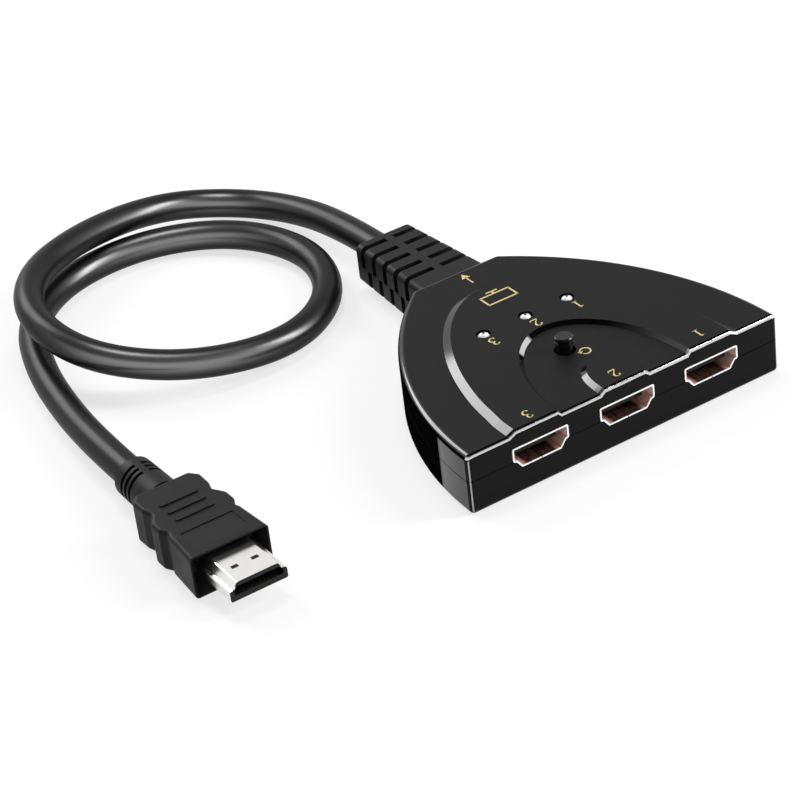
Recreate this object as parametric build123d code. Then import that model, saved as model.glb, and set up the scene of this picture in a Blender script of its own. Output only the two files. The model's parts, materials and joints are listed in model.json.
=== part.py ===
from build123d import *
import math
import os

os.makedirs("parts", exist_ok=True)

# Millimetres. Sizes are laid out with y = 0 at the port face, x across the ports, y toward the
# lead and z up from the table. place() moves each piece so that the housing with its strain
# relief stands centred on the origin.

# Housing, seen from above: a straight front, two bowed sides and a short back.
housing_width = 84.4
housing_depth = 66.0
back_width = 24.0
side_bulge = 8.0
housing_height = 15.0
wall = 1.6
seam_height = 8.5
front_round = 1.1
side_round = 1.5
back_corner_round = 2.0
lip_width = 0.7
lip_height = 1.0
lip_clearance = 0.1
seam_groove_width = 0.25
seam_groove_height = 0.2
ceiling_height = housing_height - wall

# Raised ring around the button, and the small raised arch at the front edge inside it.
raise_height = 0.9
raised_top = housing_height + raise_height
ring_half_width = 29.2
ring_reach = 54.1
ring_power = 1.85
ring_bevel = 1.95
pocket_half_width = 18.0
pocket_reach = 30.8
pocket_power = 1.95
pocket_bevel = 0.95
arch_half_width = 5.5
arch_reach = 11.2
arch_power = 2.4
arch_bevel = 1.2
arch_foot_spare = 0.2
arch_foot = front_round + arch_foot_spare
curve_steps = 12

# Receptacles: sheet-metal shell, insulator with tongue, contacts.
port_count = 3
port_from_corner = 18.9
port_pitch = (housing_width / 2 - port_from_corner) / ((port_count - 1) / 2)
port_level_share = 0.606
port_half_wide = 7.4
port_half_narrow = 5.2
port_height = 5.35
port_side = 3.4
port_shelf = 0.85
port_shelf_drop = 0.15
port_corner = 0.5
port_inner_corner = 0.15
port_sheet = 0.4
port_length = 11.5
port_clearance = 0.15
port_slit = 0.2
port_spring_x = 2.8
port_spring_width = 1.4
port_spring_front = 1.6
port_spring_length = 3.0
port_spring_gap = 0.25
port_tab_width = 1.6
port_tab_thickness = 0.3
port_tab_front = 3.0
port_tab_pitch = 6.0
port_tab_below = 0.8
port_top = housing_height * port_level_share + port_height / 2
tab_slot_clearance = 0.2
tongue_width = 11.2
tongue_thickness = 1.2
tongue_front = 2.2
tongue_below_top = 1.45
block_length = 4.0
contact_pitch = 1.0
contact_width = 0.3
contact_thickness = 0.15
contact_proud = 0.05
contact_front = 0.4
upper_contacts = 10
lower_contacts = 9
upper_tail = 1.35
lower_tail = 0.45
tail_foot = 0.6

# Board, which carries the receptacles.
board_thickness = 1.6
board_top = port_top - port_height
board_bottom = board_top - board_thickness
board_clearance = 0.5

# Select button on a push switch.
button_x = -1.4
button_y = 20.4
switch_width = 6.2
switch_height = 3.4
switch_plate_thickness = 0.3
switch_plate_hole_radius = 1.95
switch_tab_width = 2.0
switch_tab_height = 1.8
switch_well_radius = 2.4
switch_well_depth = 2.2
dome_radius = 2.0
dome_height = 0.6
dome_thickness = 0.12
plunger_gap = 0.3
plunger_foot_radius = 2.2
plunger_foot_height = 1.2
plunger_neck_radius = 1.75
plunger_tenon_radius = 1.0
tenon_clearance = 0.03
cap_below = 3.0
cap_bore_depth = 3.6
cap_bottom = housing_height - cap_below
cap_bore_top = cap_bottom + cap_bore_depth
cap_lower_radius = 1.85
collar_radius = 2.2
collar_low = 1.5
collar_high = 2.1
cap_neck_radius = 1.75
cap_head_low = 2.8
cap_head_radius = 2.15
cap_head_top = 3.7
cap_head_bevel = 0.3
cap_hole_clearance = 0.3
terminal_thickness = 0.3
terminal_width = 0.7
terminal_spacing = 4.5
terminal_high = 1.0
terminal_below = 1.2
lead_hole_radius = 0.55

# Three indicator lights.
light_pitch = 11.6
light_y = 37.2
light_radius = 1.5
light_length = 5.3
light_proud = 0.25
light_flange_radius = 1.9
light_flange_height = 1.0
light_clearance = 0.2
light_lead_width = 0.5
light_lead_spacing = 2.54
light_lead_below = 1.2

# Circuits on the board.
chip_y = 30.0
chip_width = 8.0
chip_height = 1.2
chip_lift = 0.1
chip_leads_per_side = 12
chip_lead_pitch = 0.5
memory_length = 4.9
memory_width = 3.9
memory_height = 1.45
memory_lead_pitch = 1.27
memory_leads_per_side = 4
middle_memory_x = 9.0
regulator_from_capacitors = 3.55
regulator_y = 32.0
regulator_length = 6.5
regulator_width = 3.5
regulator_height = 1.6
regulator_lead_pitch = 2.3
regulator_leads_per_side = 3
lead_width = 0.25
lead_thickness = 0.15
lead_reach = 0.45
lead_foot = 0.6
lead_level_share = 0.45
pin_mark_radius = 0.35
pin_mark_depth = 0.1
pin_mark_inset = 1.0
capacitor_length = 2.0
capacitor_width = 1.25
capacitor_height = 1.1
capacitor_rows = 2
capacitors_per_row = 3
capacitor_pitch = 2.2
capacitor_x = 10.6
capacitor_step = capacitor_length + lead_foot
capacitor_reach = capacitor_x + (capacitor_rows - 1) * capacitor_step + capacitor_length / 2
regulator_x = capacitor_reach + regulator_from_capacitors + regulator_length / 2
resistor_length = 1.6
resistor_width = 0.8
resistor_height = 0.45
resistors_per_row = 4
resistor_pitch = 2.3
circuit_gap = 1.0
resistor_front = port_length + upper_tail + contact_thickness + tail_foot + circuit_gap
memory_reach = memory_width / 2 + lead_reach + lead_foot
memory_y = resistor_front + resistor_length + circuit_gap + memory_reach

# Screws from below, through bosses of both covers.
front_boss_from_corner = 7.7
front_boss_x = housing_width / 2 - front_boss_from_corner
front_boss_y = 16.0
back_boss_x = 17.5
back_boss_from_back = 17.0
back_boss_y = housing_depth - back_boss_from_back
lower_boss_radius = 3.0
board_back = back_boss_y + lower_boss_radius
upper_boss_radius = 2.5
screw_radius = 1.0
screw_head_radius = 1.9
screw_head_height = 1.4
screw_clearance = 0.2
pilot_clearance = 0.05
counterbore_depth = 1.9
screw_tip_below_ceiling = 2.4
screw_tip = ceiling_height - screw_tip_below_ceiling
pilot_spare = 0.4
recess_length = 2.2
recess_width = 0.5
recess_depth = 0.8

# Strain relief: a tapered ribbed block with a neck through the back wall.
relief_length = 31.0
relief_z = housing_height / 2
relief_half_width = 9.3
relief_end_half_width = 8.0
relief_step = 1.3
relief_height = housing_height - 2 * relief_step
relief_end_step = 1.1
relief_end_height = relief_height - 2 * relief_end_step
relief_corner = 1.6
relief_rim_round = 0.5
slot_count = 5
slot_pitch = 5.1
slot_width = 1.75
slot_depth = 1.3
slot_first_from_end = 3.3
spine_half_width = 1.05
neck_width = 15.0
neck_step = 1.4
neck_height = relief_height - 2 * neck_step
neck_clearance = 0.1
flange_width = 18.0
flange_clearance = 0.3
flange_height = ceiling_height - wall - 2 * flange_clearance
flange_thickness = 1.8

overall_length = housing_depth + relief_length

# Lead.
cable_diameter = 7.3
cable_radius = cable_diameter / 2
cable_clearance = 0.05
inner_end_length = 4.6
inner_end_y = housing_depth - wall - flange_thickness - inner_end_length
core_count = 6
core_radius = 0.35
core_pitch = 1.0
core_row_gap = 0.65
core_straight = 1.6
core_bend = 0.6
pad_pitch = 2.0
pad_inset = 1.8
pad_row_pitch = 2.8
core_hole_radius = 0.5
core_below = 0.6

# Plug, laid out from its tip backward and set down at the lead's end.
plug_x = -93.0
plug_tip_y = 3.3
hood_height = 10.4
plug_axis_z = hood_height / 2
plug_half_wide = 6.95
plug_half_narrow = 5.0
plug_height = 4.45
plug_side = 2.7
plug_bottom = 4.0
plug_sheet = 0.3
plug_shell_length = 19.0
nose_length = 0.15
nose_margin = 0.1
slot_opening_width = 11.8
slot_lip = 1.45
slot_opening_height = 2.1
slot_opening_low = plug_bottom + slot_lip
slot_opening_high = slot_opening_low + slot_opening_height
slot_opening_depth = 8.5
window_width = 1.7
window_length = 1.1
window_x = 2.45
window_y = 5.0
hood_front = 11.0
hood_length = 28.8
hood_end = hood_front + hood_length
hood_half_width = 9.55
hood_round = 1.0
hood_corner = 1.2
hood_rim = 0.45
hood_depth = 4.5
hood_throat_margin = 0.8
core_block_width = 12.0
core_block_height = 5.0
core_block_length = 14.0
core_block_end = plug_shell_length + core_block_length
plug_neck_length = 13.4
plug_neck_end = hood_end + plug_neck_length
plug_neck_radius = 5.15
plug_neck_end_radius = 4.9
plug_ring_first = hood_end + plug_neck_length / 2
plug_ring_count = 3
plug_ring_pitch = 1.8
plug_ring_width = 1.0
plug_ring_depth = 0.9
plug_spine_half_width = 0.75
bar_first = 25.2
bar_count = 3
bar_pitch = 3.4
bar_half_length = 4.7
bar_width = 1.1
bar_height = 0.3
panel_half_width = 6.4
panel_back = 20.3
panel_front = 13.0
panel_depth = 0.2

# The hood's outline on one side, from the mouth back: a waist, a finger bulge, a second waist
# and a rounded rear, as shares of its half width and its length.
hood_outline_shares = (
    (1.0, 0.0),
    (0.92, 0.35),
    (0.87, 0.40),
    (0.98, 0.47),
    (0.98, 0.58),
    (0.79, 0.69),
    (0.87, 0.78),
    (0.88, 0.92),
    (0.70, 1.0),
)

# The lead's way: out of the relief, over its own second turn, round once on the table and
# into the plug.
floor_z = cable_radius
over_z = 14.0
lead_route = (
    (0.0, overall_length, relief_z),
    (0.0, 109.5, relief_z),
    (-1.3, 132.4, 5.3),
    (-10.1, 151.5, floor_z),
    (-28.8, 158.4, 7.0),
    (-53.7, 151.1, 11.8),
    (-75.5, 138.4, over_z),
    (-85.1, 119.0, over_z),
    (-80.5, 97.7, 11.0),
    (-60.5, 85.1, 6.0),
    (-35.5, 82.3, floor_z),
    (-16.5, 94.6, floor_z),
    (-9.6, 116.7, floor_z),
    (-18.4, 138.6, floor_z),
    (-38.9, 150.0, floor_z),
    (-62.5, 147.8, floor_z),
    (-79.3, 134.3, floor_z),
    (-87.3, 112.6, floor_z),
    (-91.0, 90.2, floor_z),
    (plug_x, 69.5, plug_axis_z),
    (plug_x, plug_tip_y + plug_neck_end, plug_axis_z),
)
bend_share = 0.45
gap_samples = 300


def place(node, shape):
    """Centre a piece on the origin with the others and write it to its file."""
    export_step(Pos(0, -overall_length / 2, 0) * shape, f"parts/{node}.step")


def block(x_low, x_high, y_low, y_high, z_low, z_high):
    """A box between two corners."""
    centre = Pos((x_low + x_high) / 2, (y_low + y_high) / 2, (z_low + z_high) / 2)
    return centre * Box(x_high - x_low, y_high - y_low, z_high - z_low)


def post(x, y, radius, z_low, z_high):
    """An upright cylinder."""
    return Pos(x, y, (z_low + z_high) / 2) * Cylinder(radius, z_high - z_low)


def rod(x, z, radius, y_low, y_high):
    """A cylinder along y."""
    return Pos(x, (y_low + y_high) / 2, z) * Rot(-90, 0, 0) * Cylinder(radius, y_high - y_low)


def upright(face, x, y, z):
    """A flat face turned to stand across y, its own origin at a place."""
    return Pos(x, y, z) * (Plane.XZ * face)


def turned(points):
    """A solid turned about z from its half section, given as radius and height."""
    return revolve(make_face(Plane.XZ * Polyline(*points, close=True)), Axis.Z)


def row_places(pitch, count):
    """Places of a centred row, the highest first."""
    return [pitch * ((count - 1) / 2 - number) for number in range(count)]


def housing_outline(inset):
    """The housing's outline from above, drawn inward by inset."""
    half, back = housing_width / 2, back_width / 2
    outline = make_face(Wire([
        Line((-half, 0), (half, 0)),
        SagittaArc((half, 0), (back, housing_depth), -side_bulge),
        Line((back, housing_depth), (-back, housing_depth)),
        SagittaArc((-back, housing_depth), (-half, 0), -side_bulge),
    ]))
    return offset(outline, -inset, kind=Kind.INTERSECTION) if inset else outline


def housing_slab(inset, z_low, z_high):
    """A slab of the housing's outline."""
    return Pos(0, 0, z_low) * extrude(housing_outline(inset), z_high - z_low)


def arch_face(half_width, reach, power):
    """A flat arch on two short straight feet, rounder or squarer with its power."""
    right = []
    for step in range(curve_steps + 1):
        angle = math.pi / 2 * step / curve_steps
        x = half_width * math.cos(angle) ** (2 / power)
        y = arch_foot + (reach - arch_foot) * math.sin(angle) ** (2 / power)
        right.append((x, y))
    left = [(-x, y) for x, y in reversed(right[:-1])]
    curve = Spline(*right, *left, tangents=((0, 1), (0, -1)))
    feet = Polyline(left[-1], (-half_width, 0), (half_width, 0), right[0])
    return make_face(Wire([curve, *feet.edges()]))


def arch_block(half_width, reach, power, bevel, z_low, z_high):
    """An arch with sloping sides; its sizes hold at the height of the raised top."""
    sections = []
    for z in (z_low, z_high):
        grow = bevel * (raised_top - z) / raise_height
        sections.append(Pos(0, 0, z) * arch_face(half_width + grow, reach + grow, power))
    return loft(sections, ruled=True)


def round_front(shape):
    """Round a raised form's side and top edges that lie in the port face."""
    faces = shape.faces().filter_by(Axis.Y).group_by(Axis.Y)[0]
    levels = faces.edges().group_by(Axis.Z)
    return fillet(levels[1] + levels[2], front_round)


def raised_forms():
    """The raised ring and the small arch, rooted below the rounded front edge."""
    root = housing_height - front_round
    above = raised_top + raise_height
    ring = arch_block(ring_half_width, ring_reach, ring_power, ring_bevel, root, raised_top)
    pocket = arch_block(
        pocket_half_width, pocket_reach, pocket_power, -pocket_bevel, root, above)
    arch = arch_block(arch_half_width, arch_reach, arch_power, arch_bevel, root, raised_top)
    return round_front(ring - pocket) + round_front(arch)


def housing_form():
    """Both covers together as one full solid, with all outer edges rounded."""
    body = housing_slab(0, 0, housing_height)
    body = fillet(body.edges().filter_by(Axis.Z).sort_by(Axis.Y)[-2:], back_corner_round)
    top_edges = body.faces().sort_by(Axis.Z)[-1].edges().sort_by(Axis.Y)
    body = fillet(top_edges[1:], side_round)
    bottom_edges = body.faces().sort_by(Axis.Z)[0].edges().sort_by(Axis.Y)
    body = fillet(bottom_edges[1:], front_round)
    body = fillet(body.faces().sort_by(Axis.Y)[0].edges(), front_round)
    return body + raised_forms()


def connector_face(half_wide, half_narrow, height, side, grow):
    """A type A connector's outline, wide side up, its top on the x axis."""
    low = -side - port_shelf_drop
    right = [
        (half_wide, 0),
        (half_wide, -side),
        (half_wide - port_shelf, low),
        (half_narrow, -height),
    ]
    left = [(-x, z) for x, z in reversed(right)]
    face = make_face(Polyline(*right, *left, close=True))
    if grow:
        face = offset(face, grow, kind=Kind.INTERSECTION)
    return fillet(face.vertices(), max(port_corner + grow, port_inner_corner))


def port_prism(x, grow, y_low, y_high):
    """A receptacle's outline as a solid."""
    face = connector_face(port_half_wide, port_half_narrow, port_height, port_side, grow)
    return extrude(upright(face, x, y_low, port_top), y_high - y_low, dir=(0, 1, 0))


def port_places():
    """The ports' x places, the first port on the right."""
    return row_places(port_pitch, port_count)


def boss_places():
    """Where the four screws stand."""
    front = [(-front_boss_x, front_boss_y), (front_boss_x, front_boss_y)]
    return front + [(-back_boss_x, back_boss_y), (back_boss_x, back_boss_y)]


def neck_opening():
    """The opening for the strain relief's neck in the back wall."""
    half = neck_width / 2 + neck_clearance
    rise = neck_height / 2 + neck_clearance
    inside = housing_depth - wall - flange_thickness / 2
    outside = housing_depth + wall
    return block(-half, half, inside, outside, relief_z - rise, relief_z + rise)


def wall_openings():
    """All openings that both covers share."""
    openings = neck_opening()
    for x in port_places():
        openings += port_prism(x, port_clearance, -wall, wall + wall)
    return openings


def top_cover(form, openings):
    """The upper cover with its bosses, button hole and light holes."""
    cover = split(form, Plane.XY.offset(seam_height), keep=Keep.TOP)
    cover -= housing_slab(wall, seam_height, ceiling_height)
    rebate_inset = wall - lip_width - lip_clearance
    rebate_top = seam_height + lip_height + lip_clearance
    cover -= housing_slab(rebate_inset, seam_height, rebate_top)
    cover -= openings
    for x, y in boss_places():
        cover += post(x, y, upper_boss_radius, board_top, ceiling_height)
        pilot = screw_radius + pilot_clearance
        cover -= post(x, y, pilot, board_top, screw_tip + pilot_spare)
    hole_radius = collar_radius + cap_hole_clearance
    cover -= post(button_x, button_y, hole_radius, ceiling_height, raised_top)
    for x in light_places():
        cover -= post(x, light_y, light_radius + light_clearance, ceiling_height, raised_top)
    return cover


def bottom_cover(form, openings):
    """The lower cover with its lip, seam groove, bosses and counterbores."""
    cover = split(form, Plane.XY.offset(seam_height), keep=Keep.BOTTOM)
    cover -= housing_slab(wall, wall, seam_height)
    lip_top = seam_height + lip_height
    lip = housing_slab(wall - lip_width, seam_height, lip_top)
    cover += lip - housing_slab(wall, seam_height, lip_top)
    groove_low = seam_height - seam_groove_height
    groove = housing_slab(0, groove_low, seam_height)
    cover -= groove - housing_slab(seam_groove_width, groove_low, seam_height)
    cover -= openings
    head_hole = screw_head_radius + screw_clearance
    for x, y in boss_places():
        cover += post(x, y, lower_boss_radius, wall, board_bottom)
        cover -= post(x, y, head_hole, 0, counterbore_depth)
        cover -= post(x, y, screw_radius + screw_clearance, counterbore_depth, board_bottom)
    return cover


def circuit_board():
    """The board, cut for screws, shell tabs, leads, terminals and cores."""
    board = housing_slab(wall + board_clearance, board_bottom, board_top)
    board -= block(-housing_width, housing_width, board_back, housing_depth, 0, housing_height)
    for x, y in boss_places():
        board -= post(x, y, screw_radius + screw_clearance, board_bottom, board_top)
    for x in port_places():
        board -= shell_tabs(x, tab_slot_clearance, board_bottom, board_top)
    for x, y in light_lead_places() + terminal_places():
        board -= post(x, y, lead_hole_radius, board_bottom, board_top)
    for x, y in pad_places():
        board -= post(x, y, core_hole_radius, board_bottom, board_top)
    return board


def shell_tabs(x, grow, z_low, z_high):
    """The four mounting tabs of one receptacle shell, or their slots."""
    tabs = []
    for side in (-1, 1):
        edge = x + side * (port_half_wide - port_sheet / 2)
        half = port_tab_thickness / 2 + grow
        for y in (port_tab_front, port_tab_front + port_tab_pitch):
            front, back = y - grow, y + port_tab_width + grow
            tabs.append(block(edge - half, edge + half, front, back, z_low, z_high))
    return tabs[0] + tabs[1:]


def spring_slot(x):
    """The slot around one spring finger in the lower side of a receptacle's shell."""
    half = port_spring_width / 2
    front = port_spring_front + port_spring_gap
    back = port_spring_front + port_spring_length
    low, high = board_top, board_top + port_sheet
    slot = block(
        x - half - port_spring_gap, x + half + port_spring_gap, port_spring_front, back, low, high)
    return slot - block(x - half, x + half, front, back, low, high)


def receptacle_shell(x):
    """A bent sheet-metal shell with a seam, two spring fingers and tabs through the board."""
    shell = port_prism(x, 0, 0, port_length) - port_prism(x, -port_sheet, 0, port_length)
    shell -= block(
        x - port_slit / 2, x + port_slit / 2, 0, port_length, board_top, board_top + port_sheet)
    for side in (-1, 1):
        shell -= spring_slot(x + side * port_spring_x)
    tab_top = port_top - port_side / 2
    return shell + shell_tabs(x, 0, board_bottom - port_tab_below, tab_top)


def contact_rows(x, tongue_high, tongue_low):
    """Each contact's x place, the level of its face and the way that face looks."""
    upper = [(x + place, tongue_high, 1) for place in row_places(contact_pitch, upper_contacts)]
    lower = [(x + place, tongue_low, -1) for place in row_places(contact_pitch, lower_contacts)]
    return upper + lower


def contact_strip(x, level, up, y_low, y_high):
    """A flat contact sunk in a face at level, a little proud of it."""
    outer = level + up * contact_proud
    inner = outer - up * contact_thickness
    half = contact_width / 2
    return block(x - half, x + half, y_low, y_high, min(inner, outer), max(inner, outer))


def receptacle_contacts(x):
    """Nineteen contacts that run along the tongue and down to the board."""
    tongue_top = port_top - port_sheet - tongue_below_top
    contacts = []
    for place_x, level, up in contact_rows(x, tongue_top, tongue_top - tongue_thickness):
        drop_y = port_length + (upper_tail if up > 0 else lower_tail)
        strip = contact_strip(place_x, level, up, tongue_front + contact_front, drop_y)
        half = contact_width / 2
        bend = drop_y + contact_thickness
        top = level + max(up * contact_proud, contact_thickness - contact_proud)
        strip += block(place_x - half, place_x + half, drop_y, bend, board_top, top)
        foot_top = board_top + contact_thickness
        strip += block(
            place_x - half, place_x + half, bend, bend + tail_foot, board_top, foot_top)
        contacts.append(strip)
    return contacts


def receptacle_tongue(x, contacts):
    """The insulator behind the shell's opening and its tongue."""
    block_front = port_length - block_length
    insulator = port_prism(x, -port_sheet, block_front, port_length)
    tongue_top = port_top - port_sheet - tongue_below_top
    half = tongue_width / 2
    insulator += block(
        x - half, x + half, tongue_front, block_front, tongue_top - tongue_thickness, tongue_top)
    return insulator - contacts


def terminal_places():
    """Where the switch's four terminals pass the board."""
    across = switch_width / 2 + terminal_thickness / 2
    along = terminal_spacing / 2
    return [
        (button_x + side * across, button_y + end * along) for side in (-1, 1) for end in (-1, 1)
    ]


def switch_base():
    """The switch's moulded base with its round well."""
    half = switch_width / 2
    top = board_top + switch_height
    base = block(
        button_x - half, button_x + half, button_y - half, button_y + half, board_top, top)
    return base - post(button_x, button_y, switch_well_radius, top - switch_well_depth, top)


def switch_plate():
    """The steel plate that holds the plunger in, with two tabs down the base's sides."""
    half = switch_width / 2
    low = board_top + switch_height
    high = low + switch_plate_thickness
    plate = block(
        button_x - half, button_x + half, button_y - half, button_y + half, low, high)
    plate -= post(button_x, button_y, switch_plate_hole_radius, low, high)
    reach = switch_tab_width / 2
    for front in (button_y - half - switch_plate_thickness, button_y + half):
        plate += block(
            button_x - reach, button_x + reach, front, front + switch_plate_thickness,
            high - switch_tab_height, high)
    return plate


def switch_dome():
    """The snap dome, a thin spring cap on the well's floor."""
    floor = board_top + switch_height - switch_well_depth
    radius = (dome_radius ** 2 + dome_height ** 2) / (2 * dome_height)
    centre_z = floor + dome_height - radius
    cap = Pos(button_x, button_y, centre_z) * Sphere(radius)
    cap -= Pos(button_x, button_y, centre_z) * Sphere(radius - dome_thickness)
    return cap & post(button_x, button_y, dome_radius, floor, floor + dome_height)


def switch_terminals():
    """Four flat terminals against the base's sides."""
    terminals = []
    for x, y in terminal_places():
        half_x, half_y = terminal_thickness / 2, terminal_width / 2
        terminals.append(block(
            x - half_x, x + half_x, y - half_y, y + half_y,
            board_bottom - terminal_below, board_top + terminal_high))
    return terminals


def switch_plunger():
    """The moving plunger: a captive foot, a neck and a tenon for the cap."""
    floor = board_top + switch_height - switch_well_depth
    foot = floor + dome_height + plunger_gap
    shoulder = foot + plunger_foot_height
    half_section = (
        (0, foot),
        (plunger_foot_radius, foot),
        (plunger_foot_radius, shoulder),
        (plunger_neck_radius, shoulder),
        (plunger_neck_radius, cap_bottom),
        (plunger_tenon_radius, cap_bottom),
        (plunger_tenon_radius, cap_bore_top),
        (0, cap_bore_top),
    )
    return Pos(button_x, button_y, 0) * turned(half_section)


def select_button():
    """The black cap with a collar and a bevelled round head."""
    bore = plunger_tenon_radius + tenon_clearance
    collar_base = housing_height + collar_low
    collar_top = housing_height + collar_high
    head_base = housing_height + cap_head_low
    head_top = housing_height + cap_head_top
    half_section = (
        (bore, cap_bottom),
        (cap_lower_radius, cap_bottom),
        (cap_lower_radius, collar_base),
        (collar_radius, collar_base),
        (collar_radius, collar_top),
        (cap_neck_radius, collar_top),
        (cap_neck_radius, head_base),
        (cap_head_radius, head_base),
        (cap_head_radius, head_top - cap_head_bevel),
        (cap_head_radius - cap_head_bevel, head_top),
        (0, head_top),
        (0, cap_bore_top),
        (bore, cap_bore_top),
    )
    return Pos(button_x, button_y, 0) * turned(half_section)


def light_places():
    """The lights' x places, the first light on the right."""
    return row_places(light_pitch, port_count)


def light_bottom():
    """The level of a light's underside."""
    return raised_top + light_proud - light_length


def indicator_light(x):
    """A clear round light with a flange and a domed end."""
    low = light_bottom()
    dome_base = low + light_length - light_radius
    light = post(x, light_y, light_flange_radius, low, low + light_flange_height)
    light += post(x, light_y, light_radius, low, dome_base)
    return light + Pos(x, light_y, dome_base) * Sphere(light_radius)


def light_lead_places():
    """Where the lights' six leads pass the board."""
    reach = light_lead_spacing / 2
    return [(x + side * reach, light_y) for x in light_places() for side in (-1, 1)]


def indicator_leads():
    """The lights' six square leads."""
    half = light_lead_width / 2
    low = board_bottom - light_lead_below
    return [
        block(x - half, x + half, y - half, y + half, low, light_bottom())
        for x, y in light_lead_places()
    ]


def gull_leads(edge, height, count, pitch):
    """A row of leads that leave a body toward +x at edge and stand on the board."""
    level = chip_lift + height * lead_level_share
    bend = edge + lead_reach
    leads = []
    for y in row_places(pitch, count):
        front, back = y - lead_width / 2, y + lead_width / 2
        lead = block(edge, bend, front, back, level, level + lead_thickness)
        lead += block(
            bend - lead_thickness, bend, front, back, 0, level + lead_thickness)
        lead += block(bend, bend + lead_foot, front, back, 0, lead_thickness)
        leads.append(lead)
    return leads


def chip_body(length, width, height):
    """A moulded body just off the board with a round mark at its first lead."""
    body = block(
        -length / 2, length / 2, -width / 2, width / 2, chip_lift, chip_lift + height)
    mark_x, mark_y = pin_mark_inset - length / 2, width / 2 - pin_mark_inset
    top = chip_lift + height
    return body - post(mark_x, mark_y, pin_mark_radius, top - pin_mark_depth, top)


def memory_places():
    """One memory chip behind each port, the middle one beside the switch."""
    xs = port_places()
    return [(xs[0], memory_y), (middle_memory_x, memory_y), (xs[-1], memory_y)]


def selector_chip():
    """The square circuit that passes one of the inputs on."""
    return Pos(0, chip_y, board_top) * chip_body(chip_width, chip_width, chip_height)


def memory_chips():
    """Three small memories."""
    body = chip_body(memory_length, memory_width, memory_height)
    return [Pos(x, y, board_top) * body for x, y in memory_places()]


def voltage_regulator():
    """The regulator's body."""
    body = chip_body(regulator_length, regulator_width, regulator_height)
    return Pos(regulator_x, regulator_y, board_top) * body


def turned_leads(x, y, turns, leads):
    """Rows of leads set round a body at the given quarter turns."""
    placed = []
    for turn in turns:
        spot = Pos(x, y, board_top) * Rot(0, 0, turn)
        placed.extend(spot * lead for lead in leads)
    return placed


def chip_leads():
    """The leads of all circuits."""
    square = gull_leads(chip_width / 2, chip_height, chip_leads_per_side, chip_lead_pitch)
    leads = turned_leads(0, chip_y, (0, 90, 180, 270), square)
    small = gull_leads(
        memory_width / 2, memory_height, memory_leads_per_side, memory_lead_pitch)
    for x, y in memory_places():
        leads += turned_leads(x, y, (90, 270), small)
    power = gull_leads(
        regulator_width / 2, regulator_height, regulator_leads_per_side, regulator_lead_pitch)
    return leads + turned_leads(regulator_x, regulator_y, (90, 270), power)


def ceramic_capacitors():
    """Capacitors in rows on both sides of the selector chip."""
    pieces = []
    for side in (-1, 1):
        for row in range(capacitor_rows):
            x = side * (capacitor_x + row * capacitor_step)
            for place_y in row_places(capacitor_pitch, capacitors_per_row):
                y = chip_y + place_y
                pieces.append(block(
                    x - capacitor_length / 2, x + capacitor_length / 2,
                    y - capacitor_width / 2, y + capacitor_width / 2,
                    board_top, board_top + capacitor_height))
    return pieces


def chip_resistors():
    """A short row of resistors behind each outer port."""
    pieces = []
    for port_x in (port_places()[0], port_places()[-1]):
        for place_x in row_places(resistor_pitch, resistors_per_row):
            x = port_x + place_x
            pieces.append(block(
                x - resistor_width / 2, x + resistor_width / 2,
                resistor_front, resistor_front + resistor_length,
                board_top, board_top + resistor_height))
    return pieces


def cover_screws():
    """Four screws from below with cross recesses."""
    seat = counterbore_depth
    head_low = seat - screw_head_height
    screws = []
    for x, y in boss_places():
        screw = post(x, y, screw_head_radius, head_low, seat)
        screw += post(x, y, screw_radius, seat, screw_tip)
        for length, width in ((recess_length, recess_width), (recess_width, recess_length)):
            screw -= block(
                x - length / 2, x + length / 2, y - width / 2, y + width / 2,
                head_low, head_low + recess_depth)
        screws.append(screw)
    return screws


def rounded_section(y, half_width, half_height, corner):
    """A rounded rectangle standing across y at the strain relief's axis."""
    face = RectangleRounded(2 * half_width, 2 * half_height, corner)
    return upright(face, 0, y, relief_z)


def relief_half_sizes(y):
    """The strain relief's half width and half height at a place along it."""
    share = (y - housing_depth) / relief_length
    width = relief_half_width + share * (relief_end_half_width - relief_half_width)
    height = relief_height + share * (relief_end_height - relief_height)
    return width, height / 2


def relief_slot(y, side):
    """One slot round the upper or lower half of the block, left and right of its spine."""
    width, height = relief_half_sizes(y)
    front, back = y - slot_width / 2, y + slot_width / 2
    reach = relief_height
    middle = relief_z + side * reach / 2
    cutter = block(-reach, reach, front, back, middle - reach / 2, middle + reach / 2)
    core = extrude(
        rounded_section(front, width - slot_depth, height - slot_depth, relief_corner),
        slot_width, dir=(0, 1, 0))
    spine = block(-spine_half_width, spine_half_width, front, back, 0, relief_z + reach)
    return cutter - core - spine


def strain_relief():
    """The ribbed block, its neck through the wall and the flange inside."""
    sections = []
    for y in (housing_depth, overall_length):
        width, height = relief_half_sizes(y)
        sections.append(rounded_section(y, width, height, relief_corner))
    relief = loft(sections, ruled=True)
    relief = fillet(relief.faces().sort_by(Axis.Y)[-1].edges(), relief_rim_round)
    last = overall_length - slot_first_from_end
    for number in range(slot_count):
        y = last - slot_pitch * number
        relief -= relief_slot(y, 1)
        relief -= relief_slot(y - slot_pitch / 2, -1)
    inside = housing_depth - wall
    half, rise = neck_width / 2, neck_height / 2
    relief += block(-half, half, inside, housing_depth, relief_z - rise, relief_z + rise)
    half, rise = flange_width / 2, flange_height / 2
    relief += block(
        -half, half, inside - flange_thickness, inside, relief_z - rise, relief_z + rise)
    return relief - rod(
        0, relief_z, cable_radius + cable_clearance, inside - flange_thickness, overall_length)


def cable_inner_end():
    """The lead's jacket inside the strain relief and the housing."""
    return rod(0, relief_z, cable_radius, inner_end_y, overall_length)


def pad_places():
    """Where the cores pass the board, in two rows."""
    back = board_back - pad_inset
    return [(x, y) for y in (back - pad_row_pitch, back) for x in row_places(pad_pitch, core_count)]


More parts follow.
